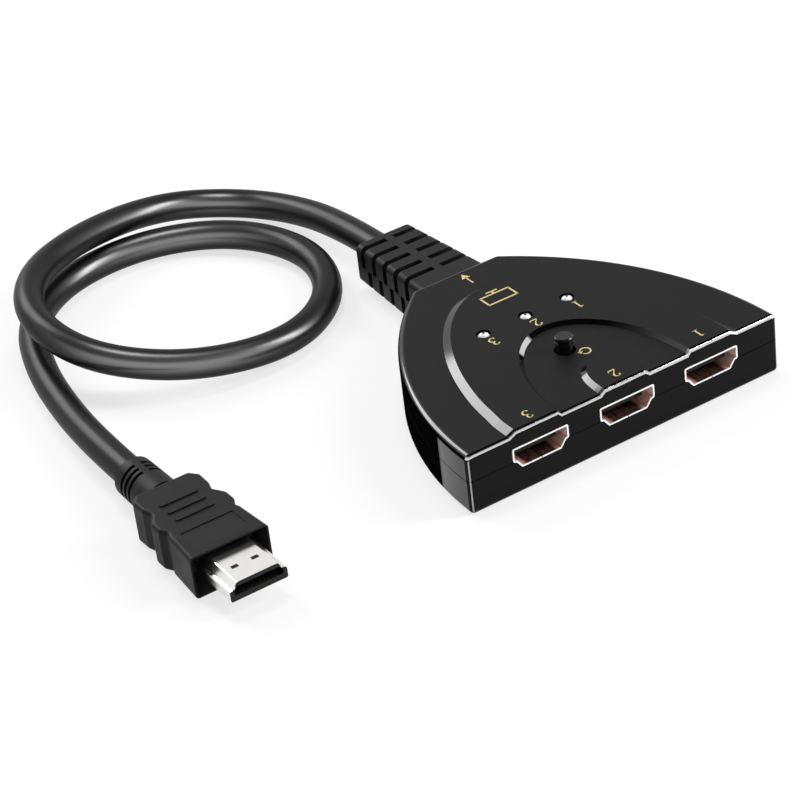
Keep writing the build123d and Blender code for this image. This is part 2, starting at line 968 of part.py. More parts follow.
def core_wires():
    """Twelve cores that fan out from the jacket and go down through the board."""
    wires = []
    starts = row_places(core_pitch, core_count)
    for number, (pad_x, pad_y) in enumerate(pad_places()):
        row = 1 if number < core_count else -1
        start_x = starts[number % core_count]
        level = relief_z + row * core_row_gap
        route = FilletPolyline(
            (start_x, inner_end_y, level),
            (start_x, inner_end_y - core_straight, level),
            (pad_x, pad_y + core_straight, level),
            (pad_x, pad_y, level),
            (pad_x, pad_y, board_bottom - core_below),
            radius=core_bend)
        wires.append(round_tube(route, core_radius))
    return wires


def round_tube(route, radius):
    """A round bar along a route."""
    start = Plane(origin=route @ 0, z_dir=route % 0)
    return sweep(start * Circle(radius), path=route)


def lead_radii():
    """A bend radius for each corner of the route, from its turn and its shorter run."""
    points = [Vector(*point) for point in lead_route]
    radii = []
    for before, corner, after in zip(points, points[1:], points[2:]):
        first, second = corner - before, after - corner
        half_turn = math.radians(first.get_angle(second)) / 2
        shorter = min(first.length, second.length)
        radii.append(bend_share * shorter / math.tan(half_turn))
    return radii


def least_gap(route):
    """The least space between the lead and itself, away from each point's own stretch."""
    points = [route @ (step / gap_samples) for step in range(gap_samples + 1)]
    apart = math.ceil(gap_samples * math.pi * cable_diameter / route.length)
    distances = [
        (points[i] - points[j]).length
        for i in range(len(points)) for j in range(i + apart, len(points))
    ]
    return min(distances) - cable_diameter


def output_cable():
    """The free length of the lead."""
    radii = lead_radii()
    route = FilletPolyline(*lead_route, radius=radii)
    cable = round_tube(route, cable_radius)
    expected = math.pi * cable_radius ** 2 * route.length
    print("lead length", round(route.length, 1), "arc radii", [round(r, 1) for r in radii])
    print("tube volume", round(cable.volume, 1), "section times length", round(expected, 1))
    print("least gap of the lead to itself", round(least_gap(route), 2))
    return cable


def at_plug(shape):
    """Set a piece laid out from the plug's tip down at its place."""
    return Pos(plug_x, plug_tip_y, 0) * shape


def plug_prism(grow, y_low, y_high):
    """The plug shell's outline as a solid, its wide side down."""
    face = connector_face(plug_half_wide, plug_half_narrow, plug_height, plug_side, grow)
    face = upright(mirror(face, Plane.XZ), 0, y_low, plug_bottom)
    return extrude(face, y_high - y_low, dir=(0, 1, 0))


def plug_shell():
    """The plug's bright shell with two spring windows on its upper side."""
    shell = plug_prism(0, 0, plug_shell_length)
    shell -= plug_prism(-plug_sheet, 0, plug_shell_length)
    top = plug_bottom + plug_height
    for side in (-1, 1):
        x = side * window_x
        shell -= block(
            x - window_width / 2, x + window_width / 2,
            window_y - window_length / 2, window_y + window_length / 2, top - plug_sheet, top)
    return at_plug(shell)


def plug_contacts():
    """Nineteen contacts in the plug's slot."""
    contacts = []
    for x, level, up in contact_rows(0, slot_opening_low, slot_opening_high):
        contacts.append(at_plug(
            contact_strip(x, level, up, contact_front, plug_shell_length)))
    return contacts


def plug_insulator(contacts):
    """The insert in the shell, with its nose and slot."""
    insert = plug_prism(-plug_sheet, 0, plug_shell_length)
    insert += plug_prism(-nose_margin, -nose_length, 0)
    half = slot_opening_width / 2
    insert -= block(
        -half, half, -nose_length, slot_opening_depth, slot_opening_low, slot_opening_high)
    return at_plug(insert) - contacts


def plug_core():
    """The inner block where the cores are soldered."""
    half, rise = core_block_width / 2, core_block_height / 2
    return at_plug(block(
        -half, half, plug_shell_length, core_block_end, plug_axis_z - rise, plug_axis_z + rise))


def plug_cable_end():
    """The lead's jacket inside the plug."""
    return at_plug(rod(0, plug_axis_z, cable_radius, core_block_end, plug_neck_end))


def hood_body():
    """The plug's moulded hood with its waist and finger bulges."""
    right = [
        (hood_half_width * wide, hood_front + hood_length * along)
        for wide, along in hood_outline_shares
    ]
    left = [(-x, y) for x, y in reversed(right)]
    face = make_face(Polyline(*right, *left, close=True))
    corners = [v for v in face.vertices() if v.Y > hood_front + hood_corner]
    body = extrude(fillet(corners, hood_corner), hood_height)
    for end in (-1, 0):
        edges = body.faces().sort_by(Axis.Z)[end].edges().sort_by(Axis.Y)
        body = fillet(edges[1:], hood_round)
    return body


def hood_mouth():
    """The funnel from the hood's open front to the shell."""
    front_half = hood_half_width - hood_rim
    front_low, front_high = hood_rim, hood_height - hood_rim
    back_half = plug_half_wide + hood_throat_margin
    back_low = plug_bottom - hood_throat_margin
    back_high = plug_bottom + plug_height + hood_throat_margin
    sections = []
    for y, half, low, high in (
        (hood_front, front_half, front_low, front_high),
        (hood_front + hood_depth, back_half, back_low, back_high),
    ):
        face = RectangleRounded(2 * half, high - low, hood_round - hood_rim)
        sections.append(upright(face, 0, y, (low + high) / 2))
    return loft(sections, ruled=True)


def neck_rings():
    """Ring grooves round the plug's neck, left whole above and below."""
    length = plug_neck_end - hood_end
    rings = []
    for number in range(plug_ring_count):
        y = plug_ring_first + plug_ring_pitch * number
        share = (y - hood_end) / length
        radius = plug_neck_radius + share * (plug_neck_end_radius - plug_neck_radius)
        front, back = y - plug_ring_width / 2, y + plug_ring_width / 2
        ring = rod(0, plug_axis_z, radius + plug_ring_depth, front, back)
        ring -= rod(0, plug_axis_z, radius - plug_ring_depth, front, back)
        ring -= block(
            -plug_spine_half_width, plug_spine_half_width, front, back,
            plug_axis_z - radius - plug_ring_depth, plug_axis_z + radius + plug_ring_depth)
        rings.append(ring)
    return rings


def grip_bars():
    """Raised bars across the hood's top."""
    bars = []
    for number in range(bar_count):
        y = bar_first + bar_pitch * number
        bar = SlotOverall(2 * bar_half_length, bar_width)
        bars.append(Pos(0, y, hood_height) * extrude(bar, bar_height))
    return bars


def hood_panel():
    """The shallow sloping recess on the hood's top."""
    profile = Plane.YZ * Polyline(
        (panel_front, hood_height),
        (panel_back, hood_height),
        (panel_back, hood_height - panel_depth),
        close=True)
    return Pos(-panel_half_width, 0, 0) * extrude(
        make_face(profile), 2 * panel_half_width, dir=(1, 0, 0))


def plug_overmold():
    """The moulded hood and neck round the shell, the core block and the lead's end."""
    neck_length = plug_neck_end - hood_end
    neck_middle = (plug_neck_end + hood_end) / 2
    neck = Pos(0, neck_middle, plug_axis_z) * Rot(-90, 0, 0) * Cone(
        plug_neck_radius, plug_neck_end_radius, neck_length)
    overmold = hood_body() - hood_mouth() - hood_panel() + grip_bars() + neck
    overmold -= neck_rings()
    overmold -= plug_prism(0, hood_front, plug_shell_length)
    overmold = at_plug(overmold) - plug_core()
    return overmold - at_plug(
        rod(0, plug_axis_z, cable_radius + cable_clearance, core_block_end, plug_neck_end))


def group(pieces):
    """Like pieces kept together in one file."""
    return Compound(children=list(pieces))


def build_housing():
    """Both covers, the board and the screws."""
    form = housing_form()
    openings = wall_openings()
    place("top_cover", top_cover(form, openings))
    place("bottom_cover", bottom_cover(form, openings))
    place("circuit_board", circuit_board())
    place("cover_screws", group(cover_screws()))


def build_inputs():
    """The three receptacles."""
    for number, x in enumerate(port_places(), start=1):
        contacts = receptacle_contacts(x)
        place(f"input_{number}_shell", receptacle_shell(x))
        place(f"input_{number}_tongue", receptacle_tongue(x, contacts))
        place(f"input_{number}_contacts", group(contacts))


def build_controls():
    """The switch with its button, and the lights."""
    place("select_button", select_button())
    place("switch_plunger", switch_plunger())
    place("switch_base", switch_base())
    place("switch_plate", switch_plate())
    place("switch_dome", switch_dome())
    place("switch_terminals", group(switch_terminals()))
    for number, x in enumerate(light_places(), start=1):
        place(f"indicator_{number}", indicator_light(x))
    place("indicator_leads", group(indicator_leads()))


def build_circuits():
    """The circuits on the board."""
    place("selector_chip", selector_chip())
    place("memory_chips", group(memory_chips()))
    place("voltage_regulator", voltage_regulator())
    place("chip_leads", group(chip_leads()))
    place("ceramic_capacitors", group(ceramic_capacitors()))
    place("chip_resistors", group(chip_resistors()))


def build_lead():
    """The strain relief, the lead and its plug."""
    place("strain_relief", strain_relief())
    place("cable_inner_end", cable_inner_end())
    place("core_wires", group(core_wires()))
    place("output_cable", output_cable())
    contacts = plug_contacts()
    place("plug_shell", plug_shell())
    place("plug_insulator", plug_insulator(contacts))
    place("plug_contacts", group(contacts))
    place("plug_core", plug_core())
    place("plug_cable_end", plug_cable_end())
    place("plug_overmold", plug_overmold())


build_housing()
build_inputs()
build_controls()
build_circuits()
build_lead()
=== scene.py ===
import json
import math

import bmesh
import bpy
from mathutils import Matrix, Vector


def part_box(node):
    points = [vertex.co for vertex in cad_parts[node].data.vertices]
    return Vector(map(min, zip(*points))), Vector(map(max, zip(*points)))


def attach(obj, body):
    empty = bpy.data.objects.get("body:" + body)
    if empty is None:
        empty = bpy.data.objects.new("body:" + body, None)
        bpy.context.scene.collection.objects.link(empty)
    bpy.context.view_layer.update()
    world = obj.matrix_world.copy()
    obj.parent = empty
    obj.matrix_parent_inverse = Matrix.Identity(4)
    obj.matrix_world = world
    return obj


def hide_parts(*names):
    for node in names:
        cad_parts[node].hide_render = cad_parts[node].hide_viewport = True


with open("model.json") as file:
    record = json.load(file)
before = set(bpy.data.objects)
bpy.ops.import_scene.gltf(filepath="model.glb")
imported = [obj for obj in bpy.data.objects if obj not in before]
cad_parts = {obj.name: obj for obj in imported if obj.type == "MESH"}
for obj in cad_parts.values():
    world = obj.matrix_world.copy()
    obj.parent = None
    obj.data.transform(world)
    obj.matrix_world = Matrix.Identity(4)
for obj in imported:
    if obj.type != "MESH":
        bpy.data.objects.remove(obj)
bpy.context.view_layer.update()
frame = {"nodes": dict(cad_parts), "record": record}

MM = 0.001
NODES = frame["nodes"]

# Places are given in millimetres from the port face, which lies at FACE_Y in the row frame.
cover_low, cover_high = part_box("top_cover")
FACE_Y = cover_low.y
BACK_Y = cover_high.y
PORT_PITCH = 23.3
HOUSING_TOP = 15.0
RAISED_TOP = 15.9

# How deep the covers' front edge and the shells' rim reach behind the port face, and their fade.
FRONT_EDGE_DEPTH = 1.4
SHELL_RIM_DEPTH = 0.9
MASK_FADE = 0.1

# How high the grain of moulded surfaces and of the prints stands, in metres.
FINE_GRAIN = 0.01 * MM
COARSE_GRAIN = 0.02 * MM
INK_GRAIN = 0.005 * MM

# The refractive index of a coat that mirrors the lamps as a polished edge does.
POLISH_IOR = 9.0

# The dark notch in each light: its direction, how far back it starts and how fast it widens.
NOTCH_RUN, NOTCH_RISE = 0.87, 0.5
NOTCH_START = 0.18
NOTCH_SLOPE = 0.45

# The soft light from the world, and how much of the seen table is plain white.
WORLD_LIGHT = 0.3
TABLE_GLOW = 0.7


def at(x, y, z):
    """A point given in millimetres from the port face, in the row frame."""
    return Vector((x * MM, FACE_Y + y * MM, z * MM))


def material(name):
    """A new material, its tree and its shader."""
    mat = bpy.data.materials.new(name)
    mat.use_nodes = True
    tree = mat.node_tree
    return mat, tree, tree.nodes["Principled BSDF"]


def feed(tree, socket, value):
    """Link a socket to an input, or put a plain value on it."""
    if isinstance(value, bpy.types.NodeSocket):
        tree.links.new(value, socket)
    else:
        socket.default_value = value


def set_inputs(tree, shader, inputs):
    """Feed inputs of a shader by name, each from a socket or a plain value."""
    for name, value in inputs.items():
        feed(tree, shader.inputs[name], value)


def noise(tree, scale, detail=3.0):
    """A noise texture laid out in the object's own coordinates."""
    place = tree.nodes.new("ShaderNodeTexCoord")
    tex = tree.nodes.new("ShaderNodeTexNoise")
    tex.inputs["Scale"].default_value = scale
    tex.inputs["Detail"].default_value = detail
    tex.inputs["Roughness"].default_value = 0.55
    tree.links.new(place.outputs["Object"], tex.inputs["Vector"])
    return tex.outputs["Fac"]


def span(tree, value, low, high, start=0.0, end=1.0):
    """Map a value that runs from start to end onto low to high."""
    node = tree.nodes.new("ShaderNodeMapRange")
    node.inputs["From Min"].default_value = start
    node.inputs["From Max"].default_value = end
    node.inputs["To Min"].default_value = low
    node.inputs["To Max"].default_value = high
    tree.links.new(value, node.inputs["Value"])
    return node.outputs["Result"]


def mix_colours(tree, fac, first, second):
    """Mix two colours, each a socket or three numbers, by a value."""
    node = tree.nodes.new("ShaderNodeMix")
    node.data_type = "RGBA"
    tree.links.new(fac, node.inputs["Factor"])
    for name, colour in (("A", first), ("B", second)):
        feed(tree, node.inputs[name], (*colour, 1.0) if isinstance(colour, tuple) else colour)
    return node.outputs["Result"]


def bump(tree, height, distance):
    """A bump from a height value, in metres."""
    node = tree.nodes.new("ShaderNodeBump")
    node.inputs["Distance"].default_value = distance
    node.inputs["Strength"].default_value = 1.0
    tree.links.new(height, node.inputs["Height"])
    return node.outputs["Normal"]


def moulded(name, dark, light, rough_low, rough_high, grain_scale, grain_height, gloss):
    """A moulded plastic or rubber with cloudy colour, patchy gloss and a fine grain."""
    mat, tree, shader = material(name)
    set_inputs(tree, shader, {
        "Base Color": mix_colours(tree, noise(tree, 120.0), dark, light),
        "Roughness": span(tree, noise(tree, 260.0), rough_low, rough_high, 0.3, 0.7),
        "Normal": bump(tree, noise(tree, grain_scale, detail=2.0), grain_height),
        "Specular IOR Level": gloss,
    })
    return mat


def ramp(tree, value, stops):
    """Turn a value into another along a straight-sided curve of (value, result) stops."""
    low, high = stops[0][0], stops[-1][0]
    node = tree.nodes.new("ShaderNodeValToRGB")
    elements = node.color_ramp.elements
    while len(elements) < len(stops):
        elements.new(0.5)
    for element, (place, result) in zip(elements, stops):
        element.position = (place - low) / (high - low)
        element.color = (result, result, result, 1.0)
    tree.links.new(span(tree, value, 0.0, 1.0, low, high), node.inputs["Fac"])
    return node.outputs["Color"]


def combine(tree, operation, *values):
    """Work out one number from sockets and plain numbers."""
    node = tree.nodes.new("ShaderNodeMath")
    node.operation = operation
    for socket, value in zip(node.inputs, values):
        feed(tree, socket, value)
    return node.outputs[0]


def times(tree, first, second):
    """The product of two numbers, each a socket or plain."""
    return combine(tree, "MULTIPLY", first, second)


def pick(tree, mask, low, high):
    """Take low where the mask is 0 and high where it is 1; either may be a socket."""
    node = tree.nodes.new("ShaderNodeMix")
    for name, value in (("Factor", mask), ("A", low), ("B", high)):
        feed(tree, node.inputs[name], value)
    return node.outputs["Result"]


def near_front(tree, place_y, depth):
    """1 down to a depth in millimetres behind the port face, 0 beyond it."""
    return ramp(tree, place_y, (
        (FACE_Y, 1.0), (FACE_Y + depth * MM, 1.0), (FACE_Y + (depth + MASK_FADE) * MM, 0.0),
        (BACK_Y, 0.0)))


def parts_of(tree, kind, output):
    """The three numbers of a coordinate or normal."""
    node = tree.nodes.new(kind)
    split = tree.nodes.new("ShaderNodeSeparateXYZ")
    tree.links.new(node.outputs[output], split.inputs[0])
    return split.outputs["X"], split.outputs["Y"], split.outputs["Z"]


def facing(tree):
    """How far a surface turns away from the eye, 0 to 1."""
    node = tree.nodes.new("ShaderNodeLayerWeight")
    node.inputs["Blend"].default_value = 0.5
    return node.outputs["Facing"]


def cover_material():
    """Housing plastic: fine matt flats on top, polished walls, bevels and rounded edges."""
    mat, tree, shader = material("cover_plastic")
    across, along, up = parts_of(tree, "ShaderNodeNewGeometry", "Normal")
    place_y = parts_of(tree, "ShaderNodeTexCoord", "Object")[1]

    # Where the matt flats, the front edge and the upright walls are.
    flat = ramp(tree, up, ((0.0, 0.0), (0.97, 0.0), (0.998, 1.0), (1.0, 1.0)))
    upright = ramp(tree, up, ((-1.0, 0.0), (-0.2, 1.0), (0.1, 1.0), (0.2, 0.0), (1.0, 0.0)))
    front = times(tree, near_front(tree, place_y, FRONT_EDGE_DEPTH), ramp(
        tree, along, ((-1.0, 1.0), (-0.2, 1.0), (-0.15, 0.0), (1.0, 0.0))))

    # How much polish each of them has.
    away = ramp(tree, facing(tree), ((0.0, 0.75), (0.45, 0.75), (0.7, 0.25), (1.0, 0.25)))
    edge_front = ramp(tree, up, ((-1.0, 0.08), (0.1, 0.1), (0.2, 0.0), (1.0, 0.0)))
    edge_side = ramp(tree, up, ((-1.0, 0.0), (0.6, 0.0), (0.68, 0.75), (1.0, 0.75)))
    edge_side = times(tree, edge_side, ramp(
        tree, along, ((-1.0, 0.0), (-0.4, 0.0), (-0.3, 1.0), (1.0, 1.0))))
    edge_side = times(tree, edge_side, away)
    wall = ramp(tree, along, (
        (-1.0, 0.08), (-0.62, 0.0), (-0.1, 0.0), (-0.02, 0.3), (0.125, 0.6), (0.14, 0.0),
        (1.0, 0.0)))
    wall = combine(tree, "MAXIMUM", wall, ramp(
        tree, across, ((-1.0, 0.0), (0.3, 0.0), (0.5, 0.07), (1.0, 0.07))))
    level = pick(tree, front, pick(tree, upright, edge_side, wall), edge_front)
    level = pick(tree, flat, level, 0.1)

    # The brightest polish: the upright corners, the line along the front edge and its glint.
    corner = ramp(tree, along, (
        (-1.0, 0.0), (-0.9, 0.0), (-0.87, 1.0), (-0.72, 1.0), (-0.68, 0.0), (1.0, 0.0)))
    corner = times(tree, times(tree, corner, upright), 0.5)
    line = times(tree, front, ramp(
        tree, up, ((-1.0, 0.0), (0.3, 0.0), (0.34, 1.0), (0.76, 1.0), (0.8, 0.0), (1.0, 0.0))))
    glint = times(tree, ramp(
        tree, up, ((-1.0, 0.0), (0.68, 0.0), (0.7, 1.0), (0.75, 1.0), (0.77, 0.0), (1.0, 0.0))),
        ramp(tree, along, (
            (-1.0, 0.0), (-0.63, 0.0), (-0.61, 1.0), (-0.46, 1.0), (-0.44, 0.0), (1.0, 0.0))))
    glint = times(tree, glint, ramp(
        tree, across, ((-1.0, 0.0), (0.2, 0.0), (0.25, 1.0), (1.0, 1.0))))
    coat = combine(tree, "MAXIMUM", combine(tree, "MAXIMUM", corner, line), glint)

    cloud = span(tree, noise(tree, 300.0), -0.02, 0.02)
    grain = times(tree, noise(tree, 9000.0, detail=2.0), flat)
    set_inputs(tree, shader, {
        "Base Color": mix_colours(
            tree, flat, (0.0025, 0.0025, 0.0026), (0.0055, 0.0055, 0.0056)),
        "Roughness": combine(tree, "ADD", pick(tree, flat, 0.12, 0.5), cloud),
        "Specular IOR Level": level,
        "Coat Weight": coat,
        "Coat IOR": POLISH_IOR,
        "Coat Roughness": 0.1,
        "Normal": bump(tree, grain, FINE_GRAIN),
    })
    return mat


def plated(name, colour, rough):
    """Bright plated metal with faint drawn lines."""
    mat, tree, shader = material(name)
    darker = tuple(0.93 * part for part in colour)
    set_inputs(tree, shader, {
        "Base Color": mix_colours(tree, noise(tree, 400.0), darker, colour),
        "Metallic": 1.0,
        "Roughness": span(tree, noise(tree, 900.0), rough, rough + 0.04),
        "Normal": bump(tree, noise(tree, 1500.0), 0.004 * MM),
    })
    return mat


def socket_material():
    """Receptacle sheet metal: a bright rim and a copper-toned inside, with painted shade
    darkening the middle under the tongue and painted light brightening its ends and upright
    walls.
    """
    mat, tree, shader = material("socket_shell")
    across, along, up = parts_of(tree, "ShaderNodeNewGeometry", "Normal")
    place_x, place_y, place_z = parts_of(tree, "ShaderNodeTexCoord", "Object")
    aside = combine(tree, "PINGPONG", place_x, PORT_PITCH / 2 * MM)
    rim = ramp(tree, along, ((-1.0, 1.0), (-0.7, 1.0), (-0.4, 0.0), (1.0, 0.0)))
    rim = times(tree, rim, near_front(tree, place_y, SHELL_RIM_DEPTH))
    # Painted shade and light: the middle of each port, under the tongue, gets a dark colour in
    # place of its shadow, and the ends a light colour in place of light.
    painted_lit_ends = ramp(tree, aside, ((0.0, 0.0), (3.6 * MM, 0.0), (4.6 * MM, 1.0), (12.0 * MM, 1.0)))
    # Painted light: the upright inner walls above the tongue get a pale pink colour standing in
    # for light falling on them.
    walls = ramp(tree, combine(tree, "ABSOLUTE", across), (
        (0.0, 0.0), (0.75, 0.0), (0.9, 1.0), (1.0, 1.0)))
    walls = times(tree, walls, ramp(tree, place_z, (
        (6.0 * MM, 0.0), (7.0 * MM, 0.0), (7.2 * MM, 1.0), (13.0 * MM, 1.0))))
    inner = mix_colours(tree, painted_lit_ends, (0.07, 0.032, 0.025), (0.8, 0.42, 0.34))
    inner = mix_colours(tree, walls, inner, (1.0, 0.88, 0.85))
    cloud = noise(tree, 1400.0)
    inner = mix_colours(tree, span(tree, cloud, 0.0, 0.3, 0.4, 0.7), inner, (0.3, 0.2, 0.17))
    set_inputs(tree, shader, {
        "Base Color": mix_colours(tree, rim, inner, (0.95, 0.95, 0.94)),
        "Metallic": pick(tree, combine(tree, "MAXIMUM", walls, painted_lit_ends), 0.55, 0.2),
        "Roughness": span(tree, cloud, 0.25, 0.35),
        "Normal": bump(tree, cloud, 0.006 * MM),
    })
    return mat


def jacket_material():
    """Lead jacket: deep black rubber with a soft polish that fades at grazing angles."""
    mat, tree, shader = material("jacket")
    polish = ramp(tree, facing(tree), (
        (0.0, 0.36), (0.05, 0.3), (0.12, 0.17), (0.22, 0.07), (0.4, 0.02), (1.0, 0.0)))
    set_inputs(tree, shader, {
        "Base Color": mix_colours(
            tree, noise(tree, 120.0), (0.002, 0.002, 0.0021), (0.004, 0.004, 0.0041)),
        "Roughness": span(tree, noise(tree, 4200.0), 0.34, 0.42),
        "Specular IOR Level": 0.08,
        "Coat Weight": polish,
        "Coat IOR": POLISH_IOR,
        "Coat Roughness": 0.3,
    })
    return mat


def lens_material():
    """Water-clear resin over a white cup with a dark notch for the chip."""
    mat, tree, shader = material("clear_lens")
    wide, deep = parts_of(tree, "ShaderNodeTexCoord", "Generated")[:2]
    wide = combine(tree, "SUBTRACT", wide, 0.5)
    deep = combine(tree, "SUBTRACT", deep, 0.5)
    turned = combine(
        tree, "SUBTRACT", times(tree, wide, NOTCH_RUN), times(tree, deep, NOTCH_RISE))
    back = combine(tree, "ADD", times(tree, wide, NOTCH_RISE), times(tree, deep, NOTCH_RUN))
    back = combine(tree, "ADD", back, NOTCH_START)
    edge = combine(
        tree, "SUBTRACT", combine(tree, "ABSOLUTE", turned), times(tree, back, NOTCH_SLOPE))
    notch = times(
        tree, span(tree, edge, 1.0, 0.0, -0.02, 0.02), span(tree, back, 0.0, 1.0, 0.0, 0.03))
    set_inputs(tree, shader, {
        "Base Color": mix_colours(tree, notch, (0.93, 0.94, 0.95), (0.015, 0.015, 0.015)),
        "Roughness": span(tree, noise(tree, 500.0), 0.05, 0.15),
        "Transmission Weight": 0.1,
        "IOR": 1.5,
    })
    return mat


# Each moulded slot's dark and light colour, lowest and highest roughness, grain scale, grain
# height and gloss.
MOULDED = {
    "button_plastic": (
        (0.003, 0.003, 0.003), (0.005, 0.005, 0.005), 0.2, 0.3, 3000.0, FINE_GRAIN, 0.3),
    "soft_black": (
        (0.0045, 0.0045, 0.0047), (0.007, 0.007, 0.0072), 0.42, 0.52, 5200.0, COARSE_GRAIN, 0.13),
    "insulator": (
        (0.006, 0.006, 0.006), (0.01, 0.01, 0.01), 0.3, 0.45, 4000.0, FINE_GRAIN, 0.2),
    "chip_black": (
        (0.02, 0.02, 0.02), (0.03, 0.03, 0.03), 0.5, 0.7, 4000.0, FINE_GRAIN, 0.5),
    "ceramic": (
        (0.38, 0.25, 0.15), (0.46, 0.32, 0.2), 0.4, 0.6, 3000.0, FINE_GRAIN, 0.5),
    "board": (
        (0.01, 0.08, 0.03), (0.015, 0.11, 0.045), 0.25, 0.4, 2500.0, FINE_GRAIN, 0.5),
    "core_insulation": (
        (0.5, 0.5, 0.5), (0.6, 0.6, 0.6), 0.3, 0.4, 3000.0, FINE_GRAIN, 0.5),
    "print": (
        (0.46, 0.36, 0.14), (0.6, 0.49, 0.23), 0.35, 0.5, 3000.0, INK_GRAIN, 0.3),
}

# Each plated slot's colour and lowest roughness.
PLATED = {
    "bright_shell": ((0.86, 0.85, 0.83), 0.2),
    "contact_gold": ((0.9, 0.66, 0.3), 0.2),
    "tinned": ((0.78, 0.78, 0.77), 0.3),
    "steel": ((0.62, 0.62, 0.62), 0.25),
}

MATERIALS = {
    **{name: moulded(name, *finish) for name, finish in MOULDED.items()},
    **{name: plated(name, *finish) for name, finish in PLATED.items()},
    "cover_plastic": cover_material(),
    "socket_shell": socket_material(),
    "jacket": jacket_material(),
    "clear_lens": lens_material(),
}


def dress_nodes():
    """Give every CAD node the material of its slot."""
    for part in frame["record"]["subparts"]:
        node = NODES[part["node"]]
        node.data.materials.clear()
        slot = part["material_slot"]
        if part["node"].startswith("input_") and slot == "bright_shell":
            slot = "socket_shell"
        node.data.materials.append(MATERIALS[slot])
        for polygon in node.data.polygons:
            polygon.material_index = 0


# The lead's diameter and route in millimetres, and its length in metres.
LEAD_DIAMETER = 7.3
LEAD_ROUTE = (
    (0.0, 97.0, 7.5),
    (0.0, 109.5, 7.5),
    (-1.3, 132.4, 5.3),
    (-10.1, 151.5, 3.65),
    (-28.8, 158.4, 7.0),
    (-53.7, 151.1, 11.8),
    (-75.5, 138.4, 14.0),
    (-85.1, 119.0, 14.0),
    (-80.5, 97.7, 11.0),
    (-60.5, 85.1, 6.0),
    (-35.5, 82.3, 3.65),
    (-16.5, 94.6, 3.65),
    (-9.6, 116.7, 3.65),
    (-18.4, 138.6, 3.65),
    (-38.9, 150.0, 3.65),
    (-62.5, 147.8, 3.65),
    (-79.3, 134.3, 3.65),
    (-87.3, 112.6, 3.65),
    (-91.0, 90.2, 3.65),
    (-93.0, 69.5, 5.2),
    (-93.0, 56.5, 5.2),
)


def output_lead():
    """The free length of the lead as one smooth curve."""
    curve = bpy.data.curves.new("lead", "CURVE")
    curve.dimensions = "3D"
    spline = curve.splines.new("NURBS")
    spline.points.add(len(LEAD_ROUTE) - 1)
    for point, place in zip(spline.points, LEAD_ROUTE):
        point.co = (*at(*place), 1.0)
    spline.order_u = 3
    spline.use_endpoint_u = True
    spline.resolution_u = 16
    curve.bevel_depth = LEAD_DIAMETER / 2 * MM
    curve.bevel_resolution = 12
    curve.use_fill_caps = True
    lead = bpy.data.objects.new("lead", curve)
    bpy.context.scene.collection.objects.link(lead)
    curve.materials.append(MATERIALS["jacket"])
    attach(lead, "housing")
    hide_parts("output_cable")


# The ink's gap above the housing and its thickness in millimetres, and the steps of its curves.
PRINT_LIFT = 0.012
PRINT_HEIGHT = 0.008
CURVE_STEPS = 8

# Strokes of each mark on a box one unit high: points with the stroke's width at each, joined by
# a smooth curve where the flag is set.
GLYPHS = {
    "1": (
        (False, ((0.30, 0.02, 0.13), (0.30, 0.93, 0.13))),
        (True, ((0.33, 0.99, 0.05), (0.22, 0.90, 0.09), (0.06, 0.86, 0.04))),
        (False, ((0.08, 0.02, 0.05), (0.52, 0.02, 0.05))),
    ),
    "2": (
        (True, ((0.10, 0.74, 0.15), (0.11, 0.88, 0.09), (0.30, 0.97, 0.05), (0.50, 0.86, 0.13),
                (0.50, 0.66, 0.15), (0.34, 0.40, 0.08), (0.06, 0.10, 0.05))),
        (False, ((0.05, 0.06, 0.12), (0.62, 0.06, 0.12))),
        (False, ((0.62, 0.02, 0.03), (0.67, 0.24, 0.05))),
    ),
    "3": (
        (True, ((0.10, 0.80, 0.13), (0.16, 0.92, 0.07), (0.32, 0.98, 0.05), (0.48, 0.86, 0.12),
                (0.46, 0.66, 0.12), (0.24, 0.54, 0.05))),
        (True, ((0.24, 0.54, 0.05), (0.50, 0.48, 0.10), (0.58, 0.26, 0.15), (0.40, 0.04, 0.10),
                (0.18, 0.02, 0.07), (0.09, 0.16, 0.14))),
    ),
    "arrow": (
        (False, ((0.00, 0.50, 0.10), (0.90, 0.50, 0.10))),
        (False, ((0.80, 0.50, 0.62), (1.35, 0.50, 0.0))),
    ),
    "cycle": (
        (True, ((0.86, 0.72, 0.10), (0.66, 0.90, 0.13), (0.40, 0.91, 0.13), (0.15, 0.72, 0.13),
                (0.08, 0.45, 0.13), (0.22, 0.17, 0.13), (0.50, 0.06, 0.13), (0.78, 0.17, 0.13),
                (0.91, 0.40, 0.13))),
        (False, ((0.89, 0.34, 0.46), (0.96, 0.66, 0.0))),
    ),
    "screen": (
        (False, ((0.0, 0.28, 0.09), (0.0, 1.0, 0.09))),
        (False, ((1.5, 0.28, 0.09), (1.5, 1.0, 0.09))),
        (False, ((-0.045, 0.28, 0.09), (1.545, 0.28, 0.09))),
        (False, ((-0.045, 1.0, 0.09), (1.545, 1.0, 0.09))),
        (False, ((0.75, 0.24, 0.12), (0.75, 0.08, 0.12))),
        (False, ((0.45, 0.06, 0.09), (1.05, 0.06, 0.09))),
    ),
}


# Each mark's glyph, place, surface, height and turn, in millimetres and degrees.
MARKS = (
    ("1", 11.6, 32.8, RAISED_TOP, 3.1, 180.0),
    ("2", 0.0, 32.9, RAISED_TOP, 3.1, 180.0),
    ("3", -11.6, 32.9, RAISED_TOP, 3.1, 180.0),
    ("1", 23.6, 4.3, RAISED_TOP, 3.0, 180.0),
    ("2", 0.0, 4.0, RAISED_TOP, 3.0, 180.0),
    ("3", -23.5, 3.7, RAISED_TOP, 3.0, 180.0),
    ("arrow", 0.5, 61.2, HOUSING_TOP, 3.6, 90.0),
    ("cycle", 1.7, 16.9, HOUSING_TOP, 2.9, 180.0),
    ("screen", 0.3, 49.0, RAISED_TOP, 5.2, 180.0),
)


